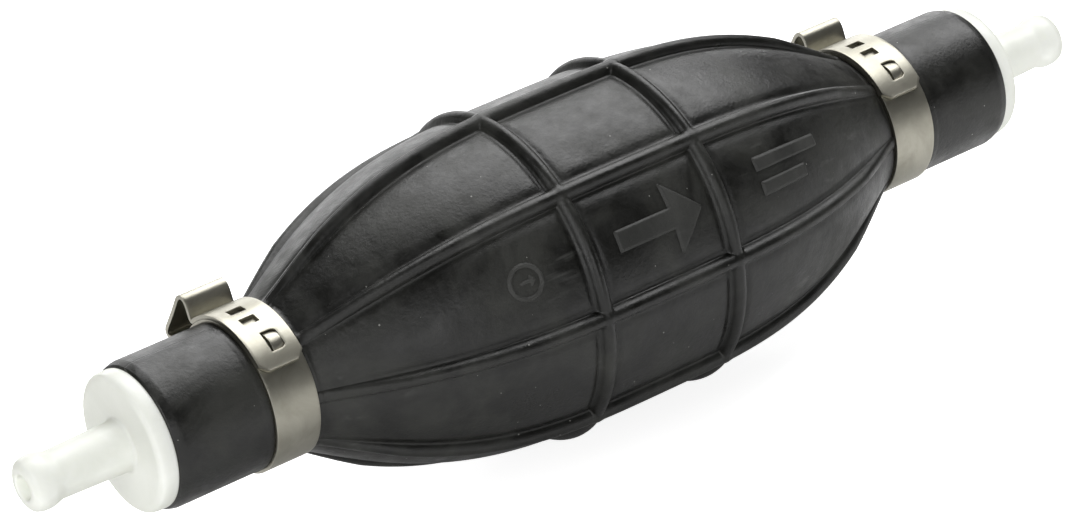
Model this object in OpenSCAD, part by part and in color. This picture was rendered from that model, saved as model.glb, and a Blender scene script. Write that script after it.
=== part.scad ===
// Hand-squeezed siphon and primer bulb for a 6 mm (1/4 in) fuel hose.
// The pump lies along X: fuel enters at the -X barb and leaves at the +X barb.
// Angles round the axis are measured from straight up (+Z) towards +Y.

/* [Bulb] */
// Radius of the rubber wall at the waist, ribs left out
bulb_r = 23.2; // [22:0.1:24]
// Half the length of the swollen part
bulb_half = 50.5; // [50:0.1:50.7]
// Thickness of the rubber wall
wall = 3; // [2.4:0.1:3.4]
// Height of the long ribs
rib_h = 1.3; // [0.8:0.1:1.6]
// Width of the long ribs
rib_w = 2.2; // [1.6:0.1:3]
// Height of the two ring ribs
ring_h = 1.1; // [0.6:0.1:1.4]
// Distance of each ring rib from the middle
ring_x = 11.4; // [10:0.1:14]

/* [Neck] */
// Outer radius of the neck
neck_r = 10.6; // [10.5:0.1:11]
// Inner radius of the neck, which the fitting's spigot fills
neck_bore = 7.6; // [7.6:0.1:7.8]
// Distance of the neck's end from the middle
neck_end = 72.5; // [70:0.5:74]

/* [Squeeze] */
// Half the length of each wall area that gives under the hand
panel_half = 22; // [16:1:24]
// Half the width of each wall area that gives under the hand
panel_reach = 15; // [12:0.5:16]
// Free gap round each of them
panel_gap = 0.3; // [0.2:0.05:0.4]

/* [Clamp] */
// Middle of the clamp band, from the middle of the pump
clamp_x = 54.25; // [54.25:0.05:56]
// Width of the steel band
band_w = 7; // [7:0.5:8]
// Thickness of the steel band
band_t = 0.6; // [0.5:0.1:0.8]

/* [Hose barb] */
// Outer radius of the barb's land, which the hose seals on
barb_r = 3.9; // [3.6:0.1:4.2]
// Length of the barb's land
barb_land = 1.3; // [1:0.1:1.6]
// Radius of the stem behind the barb
stem_r = 3.4; // [3:0.1:3.5]
// Radius of the fuel passage
passage_r = 2.1; // [1.6:0.1:2.3]
// Distance of the barb's tip from the middle
tip_x = 90.5; // [88:0.5:94]

/* [Hidden] */
$fn = 96;

rib_count = 8;
rib_root = 1.2;             // depth to which a rib is rooted in the wall
profile_steps = 20;         // straight steps along each half of the bulb's outline
rib_fade = 8;               // length over which a rib runs out beside the clamp
thumb_angle = -90;          // the thumb presses here, the fingers opposite
overcut = 0.1;

band_r = neck_r - 0.1;      // the band presses the neck in by this much
flange_r = neck_r - 0.65;
flange_t = 2.5;
flange_x = neck_end + flange_t;

ear_angle = 47.5;           // middle of the crimped ear's foot
ear_top = 15.3;             // height of the ear's roof above the axis
ear_foot = 1.9;             // half width of the ear at its foot
ear_root = 0.15;            // the ear's legs reach down to this height in the band
ear_half = 5.1;             // half width of the ear at its roof
ear_lean = 0.9;             // the roof sits this far to one side of the foot
overlap_from = -58.5;       // the outer layer of the band starts here
overlap_to = 39.5;          // and runs into the ear's foot here
hook_angle = -38.5;         // middle of the locking slot
slot_angles = [-17, -1.5];  // middles of the two assembly slots
end_bevel = 1.7;            // corners cut from the end of the outer layer

spigot_in = 46;             // inner end of the fitting's spigot
ridge_h = 0.45;             // height of the spigot's grip ridges
ridge_l = 1.6;
ridge_at = [50.5, 54, 57.5, 61];
chamber_r = 5.6;            // the check valve's chamber in the spigot
chamber_mouth = 46.5;
chamber_floor = 60.5;
valve_shift = chamber_mouth + chamber_floor;  // the inlet valve sits this far back

seat_x = 49.9;              // sealing lip of the valve seat
seat_bore = 3;
poppet_r = 4.5;
poppet_back = 52;
poppet_stem_r = 1.1;
poppet_stem_end = 59.6;
seal_in = 2.6;
seal_out = 4.2;
seal_face = 49.95;
seal_back = 50.75;
cage_x = 58;
cage_hub_r = 2.9;
cage_ring_in = 4.4;
spoke_w = 1.2;

coil_r = 2.6;               // mean radius of the valve spring
wire_r = 0.25;
coils = 6;
dead_coils = 1;             // closed turns at each end
ring_steps = 20;            // wire sections in each turn
wire_sides = 8;

// Outline of the bulb: neck radius at both ends, swelling to the waist.
function swell(x) =
    neck_r + (bulb_r - neck_r) * pow(max(0, cos(90 * pow(min(1, abs(x) / bulb_half), 1.62))), 1.08);
function bore(x) = max(neck_bore, swell(x) - wall);
function stations() = [for (i = [-profile_steps:profile_steps]) bulb_half * i / profile_steps];

// Turns a profile of [radius, x] points about the X axis.
module turned(points) {
    rotate([0, 90, 0]) rotate_extrude() polygon(points);
}

// Puts what is drawn above the axis at an angle round it.
module at_angle(angle) {
    rotate([-angle, 0, 0]) children();
}

// Sawtooth ridges of the spigot, also cut from the neck's bore, where the rubber closes on them.
module ridges() {
    for (x = ridge_at)
        turned([[neck_bore - 0.2, x - ridge_l], [neck_bore, x - ridge_l],
                [neck_bore + ridge_h, x - 0.2], [neck_bore + ridge_h, x],
                [neck_bore, x], [neck_bore - 0.2, x]]);
}

module long_rib() {
    outer = [for (x = stations()) [x, swell(x) + rib_h * min(1, (bulb_half - abs(x)) / rib_fade + 0.1)]];
    inner = [for (x = stations()) [x, swell(x) - rib_root]];
    reversed = [for (i = [len(inner) - 1:-1:0]) inner[i]];
    rotate([90, 0, 0]) linear_extrude(height = rib_w, center = true)
        polygon(concat(outer, reversed));
}

module ring_rib(x) {
    translate([x, 0, 0]) rotate([0, 90, 0]) rotate_extrude()
        translate([swell(x), 0]) circle(r = ring_h, $fn = 24);
}

// The whole moulding: hollow bulb, necks, long ribs and ring ribs.
module moulding() {
    band_from = clamp_x - band_w / 2;
    band_to = clamp_x + band_w / 2;
    belly = [for (x = stations()) [swell(x), x]];
    far_neck = [[neck_r, band_from], [band_r, band_from], [band_r, band_to], [neck_r, band_to],
                [neck_r, neck_end - 1.2], [neck_r - 0.35, neck_end], [0, neck_end]];
    near_neck = [for (i = [len(far_neck) - 1:-1:0]) [far_neck[i][0], -far_neck[i][1]]];
    hollow = [for (x = stations()) [bore(x), x]];
    difference() {
        union() {
            turned(concat(near_neck, belly, far_neck));
            for (i = [0:rib_count - 1]) at_angle(360 / rib_count * i) long_rib();
            for (side = [-1, 1]) ring_rib(side * ring_x);
        }
        turned(concat([[0, -neck_end - overcut], [neck_bore, -neck_end - overcut]], hollow,
                      [[neck_bore, neck_end + overcut], [0, neck_end + overcut]]));
        ridges();
        mirror([1, 0, 0]) ridges();
    }
}

// Block that marks out the wall area pressed at an angle, smaller all round by the gap.
module press_block(angle, gap) {
    at_angle(angle)
        translate([-panel_half + gap, -panel_reach + gap, 0])
            cube([2 * (panel_half - gap), 2 * (panel_reach - gap), 2 * bulb_r]);
}

module bulb() {
    color("#26282a") difference() {
        moulding();
        press_block(thumb_angle, 0);
        press_block(thumb_angle + 180, 0);
    }
}

module pressed_wall(angle) {
    color("#303234") intersection() {
        moulding();
        press_block(angle, panel_gap);
    }
}

module fitting() {
    nose = tip_x - 1.6;
    land = nose - barb_land;
    color("#f2f3ee") union() {
        turned([[chamber_r - 0.25, spigot_in], [neck_bore - 0.5, spigot_in], [neck_bore, spigot_in + 0.6],
                [neck_bore, neck_end], [flange_r - 0.4, neck_end], [flange_r, neck_end + 0.4],
                [flange_r, flange_x - 0.4], [flange_r - 0.4, flange_x], [stem_r + 0.3, flange_x],
                [stem_r, land - 1.6], [barb_r - 0.15, land - 0.5],
                [barb_r, land], [barb_r, nose], [barb_r - 0.3, nose + 1], [barb_r - 1, tip_x],
                [passage_r, tip_x], [passage_r, chamber_floor + 4.5], [chamber_r - 1, chamber_floor + 2],
                [chamber_r - 1, chamber_floor], [chamber_r, chamber_floor],
                [chamber_r, chamber_mouth], [chamber_r - 0.25, chamber_mouth]]);
        ridges();
    }
}

// Path of the strip over the clamp's ear, [along the band, above the axis], outside face.
function ear_path() = [
    [-ear_foot, band_r + ear_root], [-ear_foot, band_r + band_t + ear_root],
    [ear_lean - ear_half, ear_top - 1.5],
    [ear_lean - ear_half + 0.2, ear_top - 0.7], [ear_lean - ear_half + 1.1, ear_top],
    [ear_lean + ear_half - 1, ear_top], [ear_lean + ear_half - 0.2, ear_top - 0.4],
    [ear_lean + ear_half, ear_top - 1.1],
    [ear_foot, band_r + band_t + ear_root], [ear_foot, band_r + ear_root],
];

function left_of(a, b) = [a[1] - b[1], b[0] - a[0]] / norm(b - a);

// The same path moved sideways by a distance, corners mitred.
function moved(path, by) = [
    for (i = [0:len(path) - 1])
        let (last = len(path) - 1,
             before = left_of(path[max(0, min(i - 1, last - 1))], path[max(1, i)]),
             after = left_of(path[min(i, last - 1)], path[min(i + 1, last)]))
        path[i] + by * (before + after) / (1 + before * after)
];

// Outer layer of the strip over part of the turn, rooted in the layer beneath it.
module outer_layer() {
    root = band_r + band_t / 2;
    at_angle(overlap_from) rotate([0, -90, 0]) rotate_extrude(angle = overlap_to - overlap_from)
        translate([root, -band_w / 2]) square([band_r + 2 * band_t - root, band_w]);
}

// Window through the outer layer: half its length along the band, and its two edges across it.
module window(angle, half_long, near_edge, far_edge) {
    at_angle(angle) translate([near_edge, -half_long, band_r + band_t * 0.7])
        cube([far_edge - near_edge, 2 * half_long, 2 * band_t]);
}

// One-piece stepless ear clamp: strip wrapped once round, overlapped, hooked and crimped at its ear.
module clamp() {
    outer_r = band_r + band_t;
    roof = ear_path();
    underside = moved(roof, -band_t);
    color("#b9b6ab") union() {
        rotate([0, 90, 0]) difference() {
            cylinder(r = outer_r, h = band_w, center = true);
            cylinder(r = band_r, h = band_w + 2 * overcut, center = true);
        }
        difference() {
            outer_layer();
            window(hook_angle, 1.65, -0.65, 1.65);
            for (a = slot_angles) window(a, 0.8, -1.6, 0.8);
            for (side = [-1, 1]) at_angle(overlap_from)
                translate([side * band_w / 2, 0, outer_r]) rotate([0, 0, 45])
                    cube([end_bevel, end_bevel, 3 * band_t], center = true);
        }
        at_angle(hook_angle) translate([0.5, -0.2, outer_r + 0.2]) cube([1.9, 2.2, 1], center = true);
        at_angle(ear_angle) rotate([90, 0, 90]) linear_extrude(height = band_w - 0.2, center = true)
            polygon(concat(roof, [for (i = [len(underside) - 1:-1:0]) underside[i]]));
    }
}

module valve_seat() {
    groove_from = chamber_mouth + 0.9;
    groove_to = chamber_mouth + 2.2;
    groove_r = chamber_r - 1.1;
    color("#e9e6d8") turned([[seat_bore, chamber_mouth], [chamber_r, chamber_mouth],
        [chamber_r, groove_from], [groove_r, groove_from], [groove_r, groove_to], [chamber_r, groove_to],
        [chamber_r, seat_x - 0.4], [seat_bore + 0.7, seat_x - 0.4], [seat_bore + 0.7, seat_x],
        [seat_bore, seat_x]]);
}

module seat_oring() {
    ring_r = 0.53;
    color("#1c1c1c") translate([chamber_mouth + 1.55, 0, 0]) rotate([0, 90, 0]) rotate_extrude()
        translate([chamber_r - ring_r - 0.02, 0]) circle(r = ring_r, $fn = 24);
}

module poppet() {
    rim = seal_face + 0.4;
    color("#d9d4c0") turned([[0, seal_face - 1.35], [seal_in - 0.6, seal_face - 1.35],
        [seal_in, seal_face - 0.55], [seal_in, seal_back], [seal_out, seal_back], [seal_out, rim],
        [poppet_r, rim], [poppet_r, poppet_back - 0.4], [poppet_r - 0.3, poppet_back],
        [poppet_stem_r, poppet_back], [poppet_stem_r, poppet_stem_end - 0.3],
        [poppet_stem_r - 0.3, poppet_stem_end], [0, poppet_stem_end]]);
}

module poppet_seal() {
    color("#2a1d18") turned([[seal_in, seal_face], [seal_out, seal_face], [seal_out, seal_back],
        [seal_in, seal_back]]);
}

module spring_cage() {
    hub_hole = poppet_stem_r + 0.08;
    cage_l = chamber_floor - cage_x;
    color("#e9e6d8") translate([cage_x, 0, 0]) rotate([0, 90, 0]) difference() {
        union() {
            difference() {
                cylinder(r = chamber_r, h = cage_l);
                translate([0, 0, -overcut]) cylinder(r = cage_ring_in, h = cage_l + 2 * overcut);
            }
            cylinder(r = cage_hub_r, h = cage_l);
            for (i = [0:1]) rotate([0, 0, 90 * i]) translate([-5, -spoke_w / 2, 0])
                cube([10, spoke_w, cage_l]);
        }
        translate([0, 0, -overcut]) cylinder(r = hub_hole, h = cage_l + 2 * overcut);
    }
}

// Distance along the spring after a number of turns: closed turns at the ends, open ones between.
function coil_travel(turn) =
    let (dead = 2 * wire_r * 1.04, open = (cage_x - poppet_back - 2 * wire_r - 2 * dead_coils * dead)
                                          / (coils - 2 * dead_coils))
    turn < dead_coils ? turn * dead
    : turn > coils - dead_coils ? dead_coils * dead + (coils - 2 * dead_coils) * open
                                  + (turn - coils + dead_coils) * dead
    : dead_coils * dead + (turn - dead_coils) * open;

module valve_spring() {
    rings = coils * ring_steps;
    points = [for (i = [0:rings], k = [0:wire_sides - 1])
        let (a = 360 * i / ring_steps, w = 360 * k / wire_sides, r = coil_r + wire_r * cos(w))
        [poppet_back + wire_r + coil_travel(i / ring_steps) + wire_r * sin(w), r * sin(a), r * cos(a)]];
    sides = [for (i = [0:rings - 1], k = [0:wire_sides - 1])
        let (k2 = (k + 1) % wire_sides, j = i * wire_sides)
        [j + k, j + k2, j + k2 + wire_sides, j + k + wire_sides]];
    first_end = [for (k = [wire_sides - 1:-1:0]) k];
    last_end = [for (k = [0:wire_sides - 1]) rings * wire_sides + k];
    color("#c8c8c8") polyhedron(points = points, faces = concat(sides, [first_end, last_end]));
}

// The same valve serves both ends. At the inlet it stands at the bulb's other neck, facing the same way.
module at_inlet() {
    translate([-valve_shift, 0, 0]) children();
}

bulb();
pressed_wall(thumb_angle);  // thumb_wall
pressed_wall(thumb_angle + 180);  // finger_wall
mirror([1, 0, 0]) fitting();  // inlet_fitting
fitting();  // outlet_fitting
translate([-clamp_x, 0, 0]) clamp();  // inlet_clamp
translate([clamp_x, 0, 0]) clamp();  // outlet_clamp
at_inlet() valve_seat();  // inlet_valve_seat
valve_seat();  // outlet_valve_seat
at_inlet() seat_oring();  // inlet_seat_oring
seat_oring();  // outlet_seat_oring
at_inlet() poppet();  // inlet_poppet
poppet();  // outlet_poppet
at_inlet() poppet_seal();  // inlet_poppet_seal
poppet_seal();  // outlet_poppet_seal
at_inlet() valve_spring();  // inlet_spring
valve_spring();  // outlet_spring
at_inlet() spring_cage();  // inlet_spring_cage
spring_cage();  // outlet_spring_cage
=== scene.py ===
import math

import bpy
import numpy as np
from mathutils import Matrix


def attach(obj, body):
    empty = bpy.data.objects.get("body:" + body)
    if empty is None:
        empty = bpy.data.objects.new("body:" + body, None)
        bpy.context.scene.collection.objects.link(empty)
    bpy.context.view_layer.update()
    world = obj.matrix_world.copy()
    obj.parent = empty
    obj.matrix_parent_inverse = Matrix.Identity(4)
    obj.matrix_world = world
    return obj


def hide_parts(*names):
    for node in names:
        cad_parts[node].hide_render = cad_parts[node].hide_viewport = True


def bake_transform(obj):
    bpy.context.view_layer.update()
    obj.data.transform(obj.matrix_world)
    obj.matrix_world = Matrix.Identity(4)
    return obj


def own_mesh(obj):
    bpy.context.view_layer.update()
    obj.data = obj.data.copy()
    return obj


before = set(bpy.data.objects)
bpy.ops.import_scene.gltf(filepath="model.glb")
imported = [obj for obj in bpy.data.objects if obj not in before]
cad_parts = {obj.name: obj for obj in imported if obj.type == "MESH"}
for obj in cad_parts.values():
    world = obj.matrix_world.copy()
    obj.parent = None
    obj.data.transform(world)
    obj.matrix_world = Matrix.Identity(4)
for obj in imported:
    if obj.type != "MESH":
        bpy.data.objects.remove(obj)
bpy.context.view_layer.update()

# ---------------------------------------------------------------------------------------------
# The table and the lights: a white sweep, broad soft boxes overhead and behind, and dimmer ones by
# the inlet and in front. The camera looks down on the pump from its inlet end with a long lens.
MM = 0.001
PUMP_UNDERSIDE = 24.95 * MM

scene = bpy.context.scene
scene.view_settings.view_transform = "Standard"

camera_data = bpy.data.cameras.new("camera")
camera_data.sensor_width = 36.0
camera_data.lens = 153.68
camera_data.clip_end = 20.0
camera_data.shift_y = 0.0018
camera = bpy.data.objects.new("camera", camera_data)
camera_right = np.array([0.79492, -0.58818, -0.14883])
camera_up = np.array([0.34997, 0.24414, 0.90438])
camera_back = np.cross(camera_right, camera_up)
camera_place = np.array([-324.66, -496.32, 257.19]) * MM
camera_matrix = np.eye(4)
camera_matrix[:3, 0] = camera_right
camera_matrix[:3, 1] = camera_up
camera_matrix[:3, 2] = camera_back
camera_matrix[:3, 3] = camera_place
camera.matrix_world = Matrix(camera_matrix.tolist())
scene.collection.objects.link(camera)
scene.camera = camera


def soft_box(name, place, size, power):
    """A rectangular soft light of size (across, up) at place, facing the pump's middle."""
    data = bpy.data.lights.new(name, "AREA")
    data.shape = "RECTANGLE"
    data.size, data.size_y = size
    data.energy = power
    light = bpy.data.objects.new(name, data)
    back = np.array(place) / np.linalg.norm(place)
    across = np.cross((0, 0, 1), back)
    across = across / np.linalg.norm(across)
    matrix = np.eye(4)
    matrix[:3, 0], matrix[:3, 1], matrix[:3, 2] = across, np.cross(back, across), back
    matrix[:3, 3] = place
    light.matrix_world = Matrix(matrix.tolist())
    scene.collection.objects.link(light)


soft_box("overhead_box", (0.40, 0.22, 0.80), (1.0, 0.8), 11.0)
soft_box("back_box", (0.55, 1.30, 0.35), (1.4, 0.6), 7.5)
soft_box("inlet_side_box", (-0.95, -0.30, 0.40), (0.6, 0.7), 4.2)
soft_box("front_box", (-0.40, -1.05, 0.28), (0.8, 0.6), 2.4)

# The room is white to the camera and dim to the pump.
world = bpy.data.worlds.new("studio")
world.use_nodes = True
scene.world = world
world_nodes = world.node_tree
background = world_nodes.nodes["Background"]
ray = world_nodes.nodes.new("ShaderNodeLightPath")
room_light = world_nodes.nodes.new("ShaderNodeMapRange")
room_light.inputs["To Min"].default_value = 0.07
room_light.inputs["To Max"].default_value = 1.0
background.inputs["Color"].default_value = (1, 1, 1, 1)
world_nodes.links.new(ray.outputs["Is Camera Ray"], room_light.inputs["Value"])
world_nodes.links.new(room_light.outputs["Result"], background.inputs["Strength"])

floor_material = bpy.data.materials.new("white_sweep")
floor_material.use_nodes = True
floor_tree = floor_material.node_tree
floor_shader = floor_tree.nodes["Principled BSDF"]
floor_shader.inputs["Base Color"].default_value = (0.85, 0.85, 0.85, 1)
floor_shader.inputs["Roughness"].default_value = 0.9
# The sweep glows brightly to the camera, and only a little to the pump above it.
floor_ray = floor_tree.nodes.new("ShaderNodeLightPath")
floor_glow = floor_tree.nodes.new("ShaderNodeMapRange")
floor_glow.inputs["To Min"].default_value = 0.12
floor_glow.inputs["To Max"].default_value = 0.85
floor_shader.inputs["Emission Color"].default_value = (1, 1, 1, 1)
floor_tree.links.new(floor_ray.outputs["Is Camera Ray"], floor_glow.inputs["Value"])
floor_tree.links.new(floor_glow.outputs[0], floor_shader.inputs["Emission Strength"])

floor_mesh = bpy.data.meshes.new("floor")
reach = 4.0  # metres from the pump to each edge of the sweep
corners = [(-reach, -reach), (reach, -reach), (reach, reach), (-reach, reach)]
floor_mesh.from_pydata([(x, y, -PUMP_UNDERSIDE) for x, y in corners], [], [(0, 1, 2, 3)])
floor_mesh.materials.append(floor_material)
floor = bpy.data.objects.new("floor", floor_mesh)
scene.collection.objects.link(floor)

# ---------------------------------------------------------------------------------------------
# The bulb: one hollow moulding of black fuel-proof rubber, 3 mm thick, with eight long ribs, two
# ring ribs and a straight neck at each end. Two mould halves meet on the top and bottom ribs, and
# the thumb half and the finger half are made apart there.
BULB_R = 23.2
BULB_HALF = 50.5
WALL = 3.0
NECK_R = 10.6
NECK_BORE = 7.6
NECK_END = 72.5
EIGHTH = np.pi / 4
RIB_H, RIB_HALF_W = 1.35, 1.25
RING_H, RING_HALF_W, RING_X = 1.15, 1.15, 11.4
GROOVE, SAG = 0.24, 0.4
CLAMP_X, BAND_W = 54.25, 7.0
PRESSED_IN, PUSHED_UP = 0.1, 0.07
END_ROUND, END_ROUND_LONG = 0.35, 1.3
MARK_ROOT, MARK_EDGE = 0.2, 0.3


def swell(x):
    """Outside radius without ribs, from waist to neck: the cosine of a quarter turn times the
    share of the way there to the power 1.62, all to the power 1.08."""
    u = np.clip(np.abs(x) / BULB_HALF, 0, 1)
    return NECK_R + (BULB_R - NECK_R) * np.cos(np.pi / 2 * u ** 1.62) ** 1.08


def rib_half_width(base):
    """Half width of a long rib: 0.72 of its full value at the neck, all of it at the waist."""
    return RIB_HALF_W * (0.72 + 0.28 * (base - NECK_R) / (BULB_R - NECK_R))


def hump(q):
    """Rounded ridge section, 1 on its line and 0 past its edge: (1 - q^2) to the power 0.7."""
    return np.maximum(0, 1 - np.square(q)) ** 0.7


def outside(x, theta):
    """Outside radius: swell and the underside's sag, plus a soft maximum of the long ribs (arc from
    the nearest eighth of a turn) and the ring ribs (|x| from RING_X), less a soft groove beside
    them. Each clamp presses the rubber in and pushes some up beside it, and the ends are round."""
    base = swell(x)
    sag = SAG * np.clip(-np.cos(theta), 0, 1) ** 2 * (base - NECK_R) / (BULB_R - NECK_R)
    arc = base * np.abs((theta + EIGHTH / 2) % EIGHTH - EIGHTH / 2)
    fade = np.clip((BULB_HALF + 1.5 - np.abs(x)) / 12, 0, 1) ** 0.8
    rib_half = rib_half_width(base)
    long_rib = RIB_H * fade * hump(arc / rib_half)
    ring_rib = RING_H * hump((np.abs(x) - RING_X) / RING_HALF_W)
    ribs = (long_rib ** 5 + ring_rib ** 5) ** 0.2
    beside_rib = np.exp(-((arc / rib_half - 1.35) / 0.5) ** 2) * fade
    beside_ring = np.exp(-(((np.abs(x) - RING_X) / RING_HALF_W) ** 2 - 1.8) ** 2 / 1.4)
    sunk = GROOVE * np.maximum(beside_rib, beside_ring) * np.exp(-((ribs / 0.5) ** 2))
    edge = (np.abs(np.abs(x) - CLAMP_X) - BAND_W / 2 - 0.6) / 0.7
    pushed_up = np.where(np.abs(x) > 50.0, PUSHED_UP * hump(edge), 0)
    under_band = np.where(np.abs(np.abs(x) - CLAMP_X) < BAND_W / 2, -PRESSED_IN, 0)
    near_end = np.clip((np.abs(x) - NECK_END + END_ROUND_LONG) / END_ROUND_LONG, 0, 1)
    return base + sag + ribs - sunk + pushed_up + under_band - END_ROUND * near_end ** 1.4


def inside(x):
    """Inside radius: the outside less the wall, and the neck bore past that."""
    return np.maximum(NECK_BORE, swell(x) - WALL)


def round_axis(x, theta, r):
    """Points at distance x along the pump and radius r, theta from straight up towards +Y."""
    return np.stack(np.broadcast_arrays(x, r * np.sin(theta), r * np.cos(theta)), axis=-1) * MM


def spaced(*stops):
    """Rising values: stops are (up to, step) pairs after the first value."""
    values = [np.array([stops[0]])]
    for end, step in stops[1:]:
        start = values[-1][-1]
        count = max(1, round((end - start) / step))
        values.append(np.linspace(start, end, count + 1)[1:])
    return np.concatenate(values)


def mesh_piece(name, points, faces, material, uv=None):
    """A smooth mesh object from an array of points and an array, or list, of faces."""
    mesh = bpy.data.meshes.new(name)
    mesh.from_pydata(np.asarray(points).reshape(-1, 3).tolist(), [], [list(f) for f in faces])
    mesh.polygons.foreach_set("use_smooth", [True] * len(mesh.polygons))
    if uv is not None:
        layer = mesh.uv_layers.new(name="along_strip")
        corner = np.empty(len(mesh.loops), int)
        mesh.loops.foreach_get("vertex_index", corner)
        layer.data.foreach_set("uv", uv.reshape(-1, 2)[corner].ravel())
    mesh.materials.append(material)
    mesh.update()
    piece = bpy.data.objects.new(name, mesh)
    scene.collection.objects.link(piece)
    return piece


def grid_faces(rows, columns, first=0, close_rows=False, close_columns=False, flip=False):
    """Quads of a grid of points numbered row by row, each joined to the next row and column."""
    i = np.arange(rows if close_rows else rows - 1)[:, None]
    j = np.arange(columns if close_columns else columns - 1)[None, :]
    i2, j2 = (i + 1) % rows, (j + 1) % columns
    quads = np.stack(np.broadcast_arrays(
        i * columns + j, i * columns + j2, i2 * columns + j2, i2 * columns + j), axis=-1)
    quads = quads.reshape(-1, 4) + first
    return quads[:, ::-1] if flip else quads


def half_moulding(side):
    """One mould half: outside grid over x and angle, inside grid, the two cut faces and the neck
    ends. Angles are spaced by arc from each rib, so that the grid's lines follow the ribs, and
    rows are close at the ring ribs, beside the clamp bands and at the neck ends."""
    ring = RING_HALF_W * np.array([2.3, 1.9, 1.6, 1.35, 1.15, 1.0, 0.88, 0.7, 0.45, 0.2])
    near_ring = np.concatenate([RING_X - ring, [RING_X], RING_X + ring[::-1]])
    half = np.concatenate([
        spaced(0, (near_ring[0], 0.75))[:-1], near_ring,
        spaced(near_ring[-1], (40, 0.8), (50, 0.5))[1:],
        spaced(50.1, (50.7, 0.15)), spaced(50.8, (57.7, 1.7)), spaced(57.8, (59.3, 0.15)),
        spaced(60, (71.1, 1.1)), spaced(71.2, (NECK_END, 0.13))])
    x = np.concatenate([-half[:0:-1], half])[:, None]
    base = swell(x)
    beside = np.array([0, 0.15, 0.35, 0.55, 0.72, 0.86, 0.95, 1.0, 1.08, 1.2, 1.35, 1.6, 2.0])
    beside = beside * rib_half_width(base) / base
    between = np.linspace(0, 1, 20)[None, 1:-1]
    middle = beside[:, -1:] + (EIGHTH - 2 * beside[:, -1:]) * between
    sector = np.concatenate([beside, middle, EIGHTH - beside[:, ::-1]], axis=1)
    sectors = [sector[:, :-1] + k * EIGHTH for k in range(4)]
    theta = np.concatenate(sectors + [0 * x + np.pi], axis=1)
    outer = round_axis(x, side * theta, outside(x, theta))
    inner_theta = np.linspace(0, np.pi, 41)[None, :]
    inner = round_axis(x, side * inner_theta, inside(x) + 0 * inner_theta)
    rows, wide, narrow = len(x), theta.shape[1], inner_theta.shape[1]
    start = rows * wide
    flip = side > 0
    faces = [tuple(f) for f in grid_faces(rows, wide, flip=flip)]
    faces += [tuple(f) for f in grid_faces(rows, narrow, first=start, flip=not flip)]
    i = np.arange(rows - 1)
    for column, inner_column, turn in ((0, 0, flip), (wide - 1, narrow - 1, not flip)):
        cut = np.stack([i * wide + column, start + i * narrow + inner_column,
                        start + (i + 1) * narrow + inner_column, (i + 1) * wide + column], axis=-1)
        faces += [tuple(f) for f in (cut[:, ::-1] if not turn else cut)]
    for row, turn in ((0, not flip), (rows - 1, flip)):
        loop = [row * wide + j for j in range(wide)]
        loop += [start + row * narrow + j for j in range(narrow - 1, -1, -1)]
        faces.append(tuple(loop[::-1] if turn else loop))
    return np.concatenate([outer.reshape(-1, 3), inner.reshape(-1, 3)]), faces


def raised_mark(distance, x_mid, theta_mid, half_long, half_high, height):
    """A moulded mark on the bulb: a fine patch that lies under the surface outside the mark's
    outline and stands up to height inside it. distance(u, v) is negative inside the outline."""
    step = 0.22
    u = spaced(-half_long, (half_long, step))[:, None]
    v = spaced(-half_high, (half_high, step))[None, :]
    lift = np.clip(0.5 - distance(u, v) / MARK_EDGE, 0, 1)
    lift = (height + MARK_ROOT) * lift * lift * (3 - 2 * lift) - MARK_ROOT
    x = x_mid + u + 0 * v
    theta = theta_mid + v / swell(x_mid) + 0 * u
    points = round_axis(x, theta, outside(x, theta) + lift)
    return points.reshape(-1, 3), grid_faces(u.size, v.size)


def box_distance(u, v, half_u, half_v):
    """Distance outside a rectangle centred on 0, negative inside."""
    return np.maximum(np.abs(u) - half_u, np.abs(v) - half_v)


def flow_arrow(u, v):
    """A broad arrow along +X: a bar joined to a triangular head."""
    bar = box_distance(u + 2.0, v, 5.2, 1.5)
    head = np.maximum(2.2 - u, (np.abs(v) + u - 7.4) * 0.7071)
    return np.minimum(bar, head)


def mould_clock(u, v):
    """The round insert that moulders use as a date mark: a ring, with a pointer that ends in a
    point.
    """
    r = np.hypot(u, v)
    ring = np.abs(r - 2.3) - 0.28
    pointer = box_distance(u - 0.3, v, 1.1, 0.22)
    tip = np.maximum(-(u - 0.6), (np.abs(v) + (u - 1.5)) * 0.7071)
    return np.minimum(np.minimum(ring, pointer), tip)


def blank_plates(u, v):
    """Two plain raised bars, one above the other."""
    upper = box_distance(u, v - 2.0, 6.2, 0.95)
    lower = box_distance(u + 1.8, v + 1.4, 4.4, 0.95)
    return np.minimum(upper, lower)


def add(tree, kind, feed=None, **settings):
    """A shader node in tree, with its settings, and values or links fed to its inputs."""
    node = tree.nodes.new("ShaderNode" + kind)
    for key, value in settings.items():
        setattr(node, key, value)
    for key, value in (feed or {}).items():
        if isinstance(value, bpy.types.NodeSocket):
            tree.links.new(value, node.inputs[key])
        else:
            node.inputs[key].default_value = value
    return node


def ramp(tree, value, low, high, out_low=0.0, out_high=1.0):
    """value, from low to high, turned into out_low to out_high and held there past both."""
    return add(tree, "MapRange", {"Value": value, "From Min": low, "From Max": high,
                                  "To Min": out_low, "To Max": out_high}).outputs["Result"]


def sums(tree, operation, a, b):
    """One Math node."""
    return add(tree, "Math", {0: a, 1: b}, operation=operation).outputs[0]


def blend_colour(tree, amount, a, b):
    """Colour a, going to colour b as amount goes from 0 to 1."""
    return add(tree, "Mix", {"Factor": amount, 6: a, 7: b}, data_type="RGBA").outputs[2]


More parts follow.
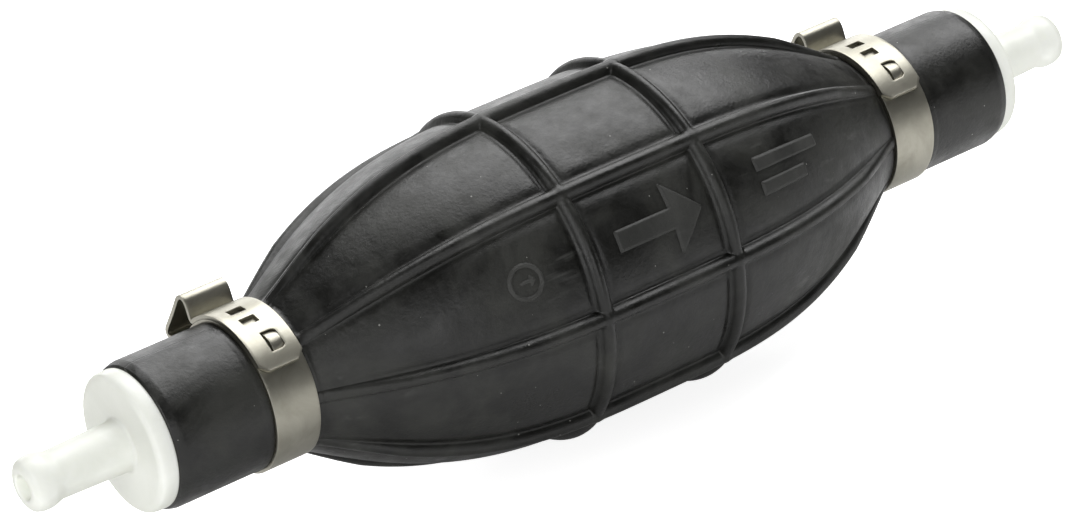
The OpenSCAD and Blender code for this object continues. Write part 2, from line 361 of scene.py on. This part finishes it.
def effect_group(name, inputs, outputs):
    """An empty shader node group with named inputs, (name, value), and named outputs."""
    tree = bpy.data.node_groups.new(name, "ShaderNodeTree")
    tree.interface.new_socket("Place", in_out="INPUT", socket_type="NodeSocketVector")
    for label, value in inputs:
        socket = tree.interface.new_socket(label, in_out="INPUT", socket_type="NodeSocketFloat")
        socket.default_value = value
    for label in outputs:
        tree.interface.new_socket(label, in_out="OUTPUT", socket_type="NodeSocketFloat")
    return tree, tree.nodes.new("NodeGroupInput").outputs, tree.nodes.new("NodeGroupOutput").inputs


# Handling marks: cloudy smears, hairline scratches that come in patches, and specks of dust.
handling, given, result = effect_group(
    "handling_marks", [("Cloud Size", 120), ("Scratch Size", 300), ("Speck Size", 600)],
    ["Cloud", "Scratches", "Specks"])
cloud = add(handling, "TexNoise", {"Vector": given["Place"], "Scale": given["Cloud Size"],
                                   "Detail": 5, "Roughness": 0.62, "Distortion": 0.6})
handling.links.new(cloud.outputs["Fac"], result["Cloud"])
slant = add(handling, "Mapping", {"Vector": given["Place"], "Rotation": (0.5, 0.3, 0.9),
                                  "Scale": (0.07, 1.0, 1.0)})
streak = add(handling, "TexNoise", {"Vector": slant.outputs[0], "Scale": given["Scratch Size"],
                                    "Detail": 3, "Roughness": 0.7})
patch = add(handling, "TexNoise", {"Vector": given["Place"], "Scale": given["Cloud Size"],
                                   "Detail": 2})
hairline = sums(handling, "MULTIPLY", ramp(handling, streak.outputs["Fac"], 0.6, 0.72),
                ramp(handling, patch.outputs["Fac"], 0.5, 0.68))
handling.links.new(hairline, result["Scratches"])
cell = add(handling, "TexVoronoi", {"Vector": given["Place"], "Scale": given["Speck Size"]})
lot = add(handling, "SeparateColor", {"Color": cell.outputs["Color"]})
grain_size = ramp(handling, lot.outputs[0], 0.9, 1.0, 0.0, 0.13)
speck = sums(handling, "GREATER_THAN", grain_size, cell.outputs["Distance"])
handling.links.new(speck, result["Specks"])


def new_material(name, **constants):
    """A material with a Principled BSDF: constants name its sockets, with _ for a space."""
    material = bpy.data.materials.new(name)
    material.use_nodes = True
    shader = material.node_tree.nodes["Principled BSDF"]
    for key, value in constants.items():
        shader.inputs[key.replace("_", " ")].default_value = value
    place = add(material.node_tree, "TexCoord").outputs["Object"]
    return material, material.node_tree, shader, place


def use_group(tree, group, place, **values):
    """The group placed in a material, with its own values."""
    node = tree.nodes.new("ShaderNodeGroup")
    node.node_tree = group
    tree.links.new(place, node.inputs["Place"])
    for key, value in values.items():
        node.inputs[key.replace("_", " ")].default_value = value
    return node.outputs


def bumped(tree, height, distance, strength):
    """Normal of a surface raised by height times distance."""
    feed = {"Height": height, "Distance": distance, "Strength": strength}
    return add(tree, "Bump", feed).outputs[0]


def moulded_rubber(name, black, worn, rough_low, rough_high):
    """Satin black rubber: cloudy smears and pale scuffs in its colour, and a patchy gloss."""
    material, tree, shader, place = new_material(name, Specular_IOR_Level=0.5)
    wear = use_group(tree, handling, place, Cloud_Size=75, Scratch_Size=420, Speck_Size=1000)
    smear = ramp(tree, wear["Cloud"], 0.44, 0.64)
    colour = blend_colour(tree, smear, black, worn)
    colour = blend_colour(tree, sums(tree, "MULTIPLY", wear["Scratches"], 0.4), colour,
                          (0.15, 0.152, 0.145, 1))
    colour = blend_colour(tree, sums(tree, "MULTIPLY", wear["Specks"], 0.75), colour,
                          (0.3, 0.3, 0.28, 1))
    tree.links.new(colour, shader.inputs["Base Color"])
    mottle = add(tree, "TexNoise", {"Vector": place, "Scale": 330, "Detail": 5, "Roughness": 0.7})
    patchy = sums(tree, "ADD", sums(tree, "MULTIPLY", wear["Cloud"], 0.55),
                  sums(tree, "MULTIPLY", mottle.outputs["Fac"], 0.45))
    gloss = ramp(tree, patchy, 0.36, 0.64, rough_low, rough_high)
    tree.links.new(gloss, shader.inputs["Roughness"])
    grain = add(tree, "TexNoise", {"Vector": place, "Scale": 1700, "Detail": 4, "Roughness": 0.6})
    height = sums(tree, "ADD", grain.outputs["Fac"],
                  sums(tree, "MULTIPLY", mottle.outputs["Fac"], 1.6))
    tree.links.new(bumped(tree, height, 0.06 * MM, 0.8), shader.inputs["Normal"])
    return material


rubber = moulded_rubber("bulb_rubber", (0.0042, 0.0043, 0.0032, 1),
                        (0.024, 0.0245, 0.0208, 1), 0.27, 0.58)
raised_rubber = moulded_rubber("raised_mark_rubber", (0.019, 0.0195, 0.0175, 1),
                               (0.036, 0.0365, 0.033, 1), 0.48, 0.66)

# Each mark's outline, its place along the pump and angle, half its length and height, and its rise.
marks = [
    (flow_arrow, 0.6, -67.5, 8.2, 5.8, 0.45),
    (mould_clock, -21.5, -67.5, 3.2, 3.2, 0.35),
    (blank_plates, 25.0, -67.5, 7.0, 3.6, 0.4),
]
for name, side, body, node in (("bulb_thumb_half", -1, "thumb_side", "thumb_wall"),
                               ("bulb_finger_half", 1, "finger_side", "finger_wall")):
    points, faces = half_moulding(side)
    plain_faces = len(faces)
    if side < 0:
        for distance, x_mid, angle, half_long, half_high, height in marks:
            mark_points, mark_faces = raised_mark(
                distance, x_mid, math.radians(angle), half_long, half_high, height)
            faces += [tuple(f) for f in mark_faces + len(points)]
            points = np.concatenate([points, mark_points])
    half = mesh_piece(name, points, faces, rubber)
    if side < 0:
        half.data.materials.append(raised_rubber)
        slots = np.zeros(len(faces), np.int32)
        slots[plain_faces:] = 1
        half.data.polygons.foreach_set("material_index", slots)
    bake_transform(half)
    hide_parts("bulb", node)

# ---------------------------------------------------------------------------------------------
# The two fittings: one nylon moulding used twice, turned round at the inlet. Its spigot fills the
# bulb's neck, its flange stops against the rubber, and its barb enters the hose.
def softened(path, cut):
    """The path with each inner corner replaced by a parabola that starts cut before it."""
    path = np.asarray(path, float)
    before, corner, after = path[:-2], path[1:-1], path[2:]
    to_before, to_after = before - corner, after - corner
    long_before = np.linalg.norm(to_before, axis=1, keepdims=True)
    long_after = np.linalg.norm(to_after, axis=1, keepdims=True)
    p = corner + to_before / long_before * np.minimum(cut, long_before * 0.48)
    q = corner + to_after / long_after * np.minimum(cut, long_after * 0.48)
    t = np.linspace(0, 1, 5)[None, :, None]
    arcs = p[:, None] * (1 - t) ** 2 + corner[:, None] * 2 * t * (1 - t) + q[:, None] * t ** 2
    return np.concatenate([path[:1], arcs.reshape(-1, 2), path[-1:]])


def turned_piece(name, profile, material):
    """A closed profile of (x, radius) points turned about the pump's axis."""
    theta = np.linspace(0, 2 * np.pi, 96, endpoint=False)[None, :]
    points = round_axis(profile[:, :1], theta, profile[:, 1:])
    faces = grid_faces(len(profile), theta.size, close_rows=True, close_columns=True)
    return mesh_piece(name, points, faces, material)


# The nylon is given an emission strength of 0.42: a painted glow that brightens the fittings though
# they are no lamp.
nylon, tree, shader, place = new_material(
    "white_nylon", Subsurface_Weight=0.55, Subsurface_Radius=(1.0, 1.0, 0.85),
    Subsurface_Scale=2.2 * MM, Specular_IOR_Level=0.45, Emission_Strength=0.42)
wear = use_group(tree, handling, place, Cloud_Size=140, Scratch_Size=500, Speck_Size=500)
milky = blend_colour(tree, ramp(tree, wear["Cloud"], 0.35, 0.7), (0.68, 0.69, 0.655, 1),
                     (0.62, 0.633, 0.59, 1))
handled = blend_colour(tree, sums(tree, "MULTIPLY", wear["Scratches"], 0.25), milky,
                       (0.62, 0.62, 0.58, 1))
# Painted shade: the colour goes darker where the surface turns edge-on to the view, set by the
# viewing angle and not by any lamp.
painted_edge_shade_amount = ramp(tree, add(tree, "LayerWeight", {"Blend": 0.5}).outputs["Facing"], 0.3, 0.85)
colour_with_painted_edge_shade = blend_colour(tree, painted_edge_shade_amount, handled, (0.45, 0.458, 0.41, 1))
tree.links.new(colour_with_painted_edge_shade, shader.inputs["Base Color"])
# Painted glow: the same colour, painted edge shade included, is given off as light.
tree.links.new(colour_with_painted_edge_shade, shader.inputs["Emission Color"])
tree.links.new(ramp(tree, wear["Cloud"], 0.3, 0.7, 0.3, 0.44), shader.inputs["Roughness"])
orange_peel = add(tree, "TexNoise", {"Vector": place, "Scale": 700, "Detail": 2})
tree.links.new(bumped(tree, orange_peel.outputs["Fac"], 0.04 * MM, 0.4), shader.inputs["Normal"])

SPIGOT_IN, FLANGE_R, FLANGE_X, TIP_X = 46.0, 10.0, 75.2, 90.5
CHAMBER_R, CHAMBER_MOUTH, CHAMBER_FLOOR, PASSAGE_R = 5.6, 46.5, 60.5, 2.1
BARB_R, STEM_R, BARB_LAND, NOSE = 3.9, 3.4, 1.3, 1.6
BORE_R, BORE_LONG = 1.75, 6
land = TIP_X - NOSE - BARB_LAND
ridges = [point for x in (50.5, 54.0, 57.5, 61.0)
          for point in ((x - 1.6, NECK_BORE), (x - 0.2, NECK_BORE + 0.45), (x, NECK_BORE + 0.45),
                        (x + 0.05, NECK_BORE))]
fitting_profile = softened(
    [(CHAMBER_MOUTH, CHAMBER_R), (CHAMBER_MOUTH, CHAMBER_R - 0.25), (SPIGOT_IN, CHAMBER_R - 0.25),
     (SPIGOT_IN, NECK_BORE - 0.5), (SPIGOT_IN + 0.6, NECK_BORE)] + ridges
    + [(NECK_END, NECK_BORE), (NECK_END, FLANGE_R - 0.2), (NECK_END + 0.2, FLANGE_R),
       (FLANGE_X - 1.0, FLANGE_R), (FLANGE_X - 0.3, FLANGE_R - 0.2), (FLANGE_X, FLANGE_R - 1.0),
       (FLANGE_X, STEM_R + 0.5), (FLANGE_X + 0.4, STEM_R + 0.25), (land - 1.6, STEM_R),
       (land - 0.5, BARB_R - 0.15), (land, BARB_R), (TIP_X - NOSE, BARB_R),
       (TIP_X - 0.6, BARB_R - 0.3), (TIP_X, BARB_R - 1.3), (TIP_X, BORE_R),
       (TIP_X - BORE_LONG, BORE_R), (TIP_X - BORE_LONG - 1, PASSAGE_R),
       (CHAMBER_FLOOR + 4.5, PASSAGE_R),
       (CHAMBER_FLOOR + 2, CHAMBER_R - 1), (CHAMBER_FLOOR, CHAMBER_R - 1),
       (CHAMBER_FLOOR, CHAMBER_R), (CHAMBER_MOUTH + 0.5, CHAMBER_R)], 0.35)
for name, node, flow in (("inlet_fitting_piece", "inlet_fitting", -1),
                         ("outlet_fitting_piece", "outlet_fitting", 1)):
    profile = fitting_profile * (flow, 1)
    fitting = turned_piece(name, profile if flow < 0 else profile[::-1], nylon)
    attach(fitting, "body")
    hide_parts(node)

# ---------------------------------------------------------------------------------------------
# The two hose clamps: one strip of stainless steel each, 7 mm wide, wrapped once and a bit round
# the neck, hooked through the slot in its outer layer and drawn tight by crimping its ear.
STRIP_T = 0.6
EAR_ANGLE = math.radians(47.5)
INNER_LAYER_R = NECK_R - PRESSED_IN + STRIP_T / 2
OUTER_LAYER_R = INNER_LAYER_R + STRIP_T + 0.02
OUTER_END = math.radians(-58.5)
END_CUT = 1.2
SPRUNG_OUT, SPRUNG_LONG = 0.016, 0.9
HOOK_SLOT, SMALL_SLOTS = math.radians(-38.5), (math.radians(-17.0), math.radians(-1.5))
HOOK_SLOT_HALF, SMALL_SLOT_HALF = 1.6, 0.8
SLOT_FROM, SLOT_TO, HOOK_FROM, HOOK_TO = -1.6, 0.8, -0.65, 1.65
SLOT_LEAN, LEAN_FROM = 0.26, 0.2
HOOK_HALF, HOOK_ROOT, HOOK_EDGE, HOOK_RISE = 1.45, -0.3, 1.45, 0.75


def strip_route():
    """The strip's middle line round the neck, from its outer end: an arc, the ear's two pinched
    legs and wide roof, and the inner arc. Softened by a running mean, and spaced evenly. The
    ear's points are along the strip and out from the axis."""
    outer_arc = np.arange(OUTER_END, math.radians(37.2), 0.02)
    ear = np.array([(-2.1, 11.5), (-2.6, 12.2), (-3.3, 13.2), (-3.6, 14.1), (-3.3, 14.85),
                    (-2.4, 15.15), (0.9, 14.85), (5.0, 14.65), (5.7, 14.4), (5.85, 13.75),
                    (5.2, 13.1), (3.2, 11.95), (2.1, 11.15)])
    along = np.array([math.cos(EAR_ANGLE), -math.sin(EAR_ANGLE)])
    outward = np.array([math.sin(EAR_ANGLE), math.cos(EAR_ANGLE)])
    ear = ear[:, :1] * along + ear[:, 1:] * outward
    inner_arc = np.arange(math.radians(60.5), math.radians(360 + 50), 0.02)
    route = np.concatenate([
        OUTER_LAYER_R * np.stack([np.sin(outer_arc), np.cos(outer_arc)], axis=1), ear,
        INNER_LAYER_R * np.stack([np.sin(inner_arc), np.cos(inner_arc)], axis=1)])
    length = np.concatenate([[0], np.cumsum(np.linalg.norm(np.diff(route, axis=0), axis=1))])
    even = np.arange(0, length[-1], 0.02)
    route = np.stack([np.interp(even, length, route[:, k]) for k in (0, 1)], axis=1)
    width = 43
    padded = np.concatenate([np.repeat(route[:1], width // 2, axis=0), route,
                             np.repeat(route[-1:], width // 2, axis=0)])
    mean = np.ones(width) / width
    return even, np.stack([np.convolve(padded[:, k], mean, "valid") for k in (0, 1)], axis=1)


def hook_plate(x_mid, s_mid):
    """The hook's middle surface, s_mid along the strip: a crown along the strip, a sine to the
    power 0.6, that narrows across it."""
    t = np.linspace(-HOOK_HALF, HOOK_HALF, 9)[:, None]
    v = np.linspace(HOOK_ROOT, HOOK_EDGE, 7)[None, :]
    taper = 1 - 0.25 * np.clip((v - HOOK_ROOT) / (HOOK_EDGE - HOOK_ROOT), 0, 1) ** 3
    angle = OUTER_END + (s_mid + t * taper) / OUTER_LAYER_R
    crown = np.sin(np.pi * np.clip((t / HOOK_HALF + 1.25) / 2.25, 0, 1)) ** 0.6
    r = INNER_LAYER_R + 0.1 + HOOK_RISE * crown + 0 * v
    uv = np.stack(np.broadcast_arrays(t * taper, v), axis=-1).reshape(-1, 2) * 0.1
    return round_axis(x_mid + v + 0 * t, angle, r).reshape(-1, 3), grid_faces(*r.shape), uv


def strip_mesh(x_mid):
    """The strip's middle surface: the route carried across the band's width, with the slots left
    out and the outer end's corners cut off, and the hook that stands in the largest slot. That
    slot is D-shaped: its two ends lean in towards its curved side."""
    at, route = strip_route()
    slot_mid = (np.array((HOOK_SLOT,) + SMALL_SLOTS) - OUTER_END) * OUTER_LAYER_R
    slot_half = np.array((HOOK_SLOT_HALF, SMALL_SLOT_HALF, SMALL_SLOT_HALF))
    stops = [(0.3, 0.15), (END_CUT, 0.3)]
    for mid, half in zip(slot_mid, slot_half):
        stops += [(mid - half, 0.28), (mid + half, 0.2)]
    s = spaced(0, *stops, (33, 0.22), (at[-1], 0.45))
    w = spaced(-BAND_W / 2, (SLOT_FROM, 0.45), (HOOK_FROM, 0.3), (SLOT_TO, 0.29), (HOOK_TO, 0.17),
               (BAND_W / 2, 0.45))
    across = w[None, :] * (1 - np.clip((END_CUT - s) / END_CUT, 0, 1)[:, None] * 0.33)
    from_mid = s[:, None] - slot_mid[0]
    narrowing = np.clip((w - LEAN_FROM) / (HOOK_TO - LEAN_FROM), 0, 1) ** 4
    narrowing *= np.clip((3.2 - w) / 1.2, 0, 1)
    near_slot = np.clip((2 * HOOK_SLOT_HALF - np.abs(from_mid)) / HOOK_SLOT_HALF, 0, 1)
    along = s[:, None] - SLOT_LEAN * from_mid * narrowing * near_slot
    sprung = 1 + SPRUNG_OUT * np.exp(-along / SPRUNG_LONG)
    y, z = (np.interp(along, at, route[:, k]) * sprung for k in (0, 1))
    points = np.stack([x_mid + across, y, z], axis=-1).reshape(-1, 3) * MM
    faces = grid_faces(len(s), len(w)).reshape(len(s) - 1, len(w) - 1, 4)
    s_mid, w_mid = (s[1:] + s[:-1]) / 2, (w[1:] + w[:-1]) / 2
    keep = np.ones(faces.shape[:2], bool)
    w_range = [(HOOK_FROM, HOOK_TO), (SLOT_FROM, SLOT_TO), (SLOT_FROM, SLOT_TO)]
    for mid, half, (low, high) in zip(slot_mid, slot_half, w_range):
        keep &= ~((np.abs(s_mid - mid) < half)[:, None] & ((w_mid > low) & (w_mid < high))[None, :])
    uv = np.stack(np.broadcast_arrays(along, across), axis=-1).reshape(-1, 2) * 0.1
    hook_points, hook_faces, hook_uv = hook_plate(x_mid, slot_mid[0])
    faces = np.concatenate([faces[keep], hook_faces + len(points)])
    return np.concatenate([points, hook_points]), faces, np.concatenate([uv, hook_uv])


steel, tree, shader, place = new_material("stainless_strip", Metallic=1.0)
strip_uv = add(tree, "TexCoord").outputs["UV"]
rolled = add(tree, "Mapping", {"Vector": strip_uv, "Scale": (3.0, 90.0, 1.0)})
lines = add(tree, "TexNoise", {"Vector": rolled.outputs[0], "Scale": 4.0, "Detail": 4})
wear = use_group(tree, handling, place, Cloud_Size=160, Scratch_Size=420, Speck_Size=700)
tarnish = blend_colour(tree, ramp(tree, wear["Cloud"], 0.4, 0.75), (0.42, 0.405, 0.345, 1),
                       (0.3, 0.29, 0.24, 1))
tree.links.new(tarnish, shader.inputs["Base Color"])
satin = sums(tree, "ADD", ramp(tree, lines.outputs["Fac"], 0.3, 0.7, 0.33, 0.45),
             sums(tree, "MULTIPLY", wear["Scratches"], 0.12))
tree.links.new(satin, shader.inputs["Roughness"])
tree.links.new(bumped(tree, lines.outputs["Fac"], 0.02 * MM, 0.35), shader.inputs["Normal"])

for name, node, x_mid in (("inlet_clamp_strip", "inlet_clamp", -CLAMP_X),
                          ("outlet_clamp_strip", "outlet_clamp", CLAMP_X)):
    points, faces, uv = strip_mesh(x_mid)
    strip = mesh_piece(name, points, faces, steel, uv)
    thick = strip.modifiers.new("thickness", "SOLIDIFY")
    thick.thickness = (STRIP_T - 0.02) * MM
    thick.offset = 0
    edge = strip.modifiers.new("rolled_edge", "BEVEL")
    edge.width = 0.12 * MM
    edge.segments = 2
    edge.angle_limit = math.radians(40)
    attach(strip, "body")
    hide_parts(node)

# ---------------------------------------------------------------------------------------------
# The check valves: in each fitting a seat, its O-ring, a poppet faced with a rubber seal, and a
# cage that guides the poppet's stem. All are pushed into the fitting's chamber from inside.
acetal, tree, shader, place = new_material(
    "acetal", Subsurface_Weight=0.25, Subsurface_Radius=(1.0, 0.95, 0.8),
    Subsurface_Scale=1.0 * MM)
wear = use_group(tree, handling, place, Cloud_Size=260, Scratch_Size=800, Speck_Size=900)
natural = blend_colour(tree, ramp(tree, wear["Cloud"], 0.35, 0.7), (0.8, 0.77, 0.68, 1),
                       (0.7, 0.665, 0.57, 1))
tree.links.new(natural, shader.inputs["Base Color"])
tree.links.new(ramp(tree, wear["Cloud"], 0.3, 0.7, 0.28, 0.42), shader.inputs["Roughness"])

seal_rubber, tree, shader, place = new_material("seal_rubber")
wear = use_group(tree, handling, place, Cloud_Size=300, Scratch_Size=900, Speck_Size=900)
brown_black = blend_colour(tree, ramp(tree, wear["Cloud"], 0.4, 0.7), (0.014, 0.011, 0.01, 1),
                           (0.035, 0.028, 0.024, 1))
tree.links.new(brown_black, shader.inputs["Base Color"])
tree.links.new(ramp(tree, wear["Cloud"], 0.3, 0.7, 0.3, 0.5), shader.inputs["Roughness"])

for end in ("inlet", "outlet"):
    for node, material in (("valve_seat", acetal), ("poppet", acetal), ("spring_cage", acetal),
                           ("seat_oring", seal_rubber), ("poppet_seal", seal_rubber)):
        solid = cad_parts[f"{end}_{node}"]
        for index in range(len(solid.material_slots)):
            solid.material_slots[index].material = material

# ---------------------------------------------------------------------------------------------
# The valve springs: stainless wire wound open, with a closed turn at each end. Each stands
# between its cage and the back of its poppet.
COIL_R, WIRE_R, COILS = 2.6, 0.25, 6
SPRING_FROM, SPRING_TO, VALVE_LIFT = 52.0, 58.0, 1.6
VALVE_SHIFT = CHAMBER_MOUTH + CHAMBER_FLOOR


def coil(x_from):
    """Wire tube along a helix: closed turns rise by one wire width, open turns share the rest."""
    turn = np.linspace(0, COILS, COILS * 40 + 1)[:, None]
    closed = 2.08 * WIRE_R
    open_rise = (SPRING_TO - SPRING_FROM - 2 * WIRE_R - 2 * closed) / (COILS - 2)
    x = np.interp(turn, (0, 1, COILS - 1, COILS),
                  np.cumsum((0, closed, open_rise * (COILS - 2), closed)))
    around = np.linspace(0, 2 * np.pi, 12, endpoint=False)[None, :]
    r = COIL_R + WIRE_R * np.cos(around)
    along = x_from + WIRE_R + x + WIRE_R * np.sin(around)
    return round_axis(along, 2 * np.pi * turn + 0 * around, r)


wire, tree, shader, place = new_material("spring_wire", Metallic=1.0)
wear = use_group(tree, handling, place, Cloud_Size=500, Scratch_Size=900, Speck_Size=900)
drawn = blend_colour(tree, ramp(tree, wear["Cloud"], 0.4, 0.7), (0.62, 0.61, 0.59, 1),
                     (0.45, 0.44, 0.42, 1))
tree.links.new(drawn, shader.inputs["Base Color"])
tree.links.new(ramp(tree, wear["Cloud"], 0.3, 0.7, 0.2, 0.34), shader.inputs["Roughness"])

for end, shift in (("inlet", -VALVE_SHIFT), ("outlet", 0)):
    points = coil(SPRING_FROM + shift)
    rings, sides = points.shape[:2]
    faces = [tuple(f) for f in grid_faces(rings, sides, close_columns=True)]
    faces += [tuple(range(sides)), tuple(range(rings * sides - 1, (rings - 1) * sides - 1, -1))]
    spring = mesh_piece(f"{end}_spring_wire", points, faces, wire)
    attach(spring, "body")
    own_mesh(spring)
    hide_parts(f"{end}_spring")
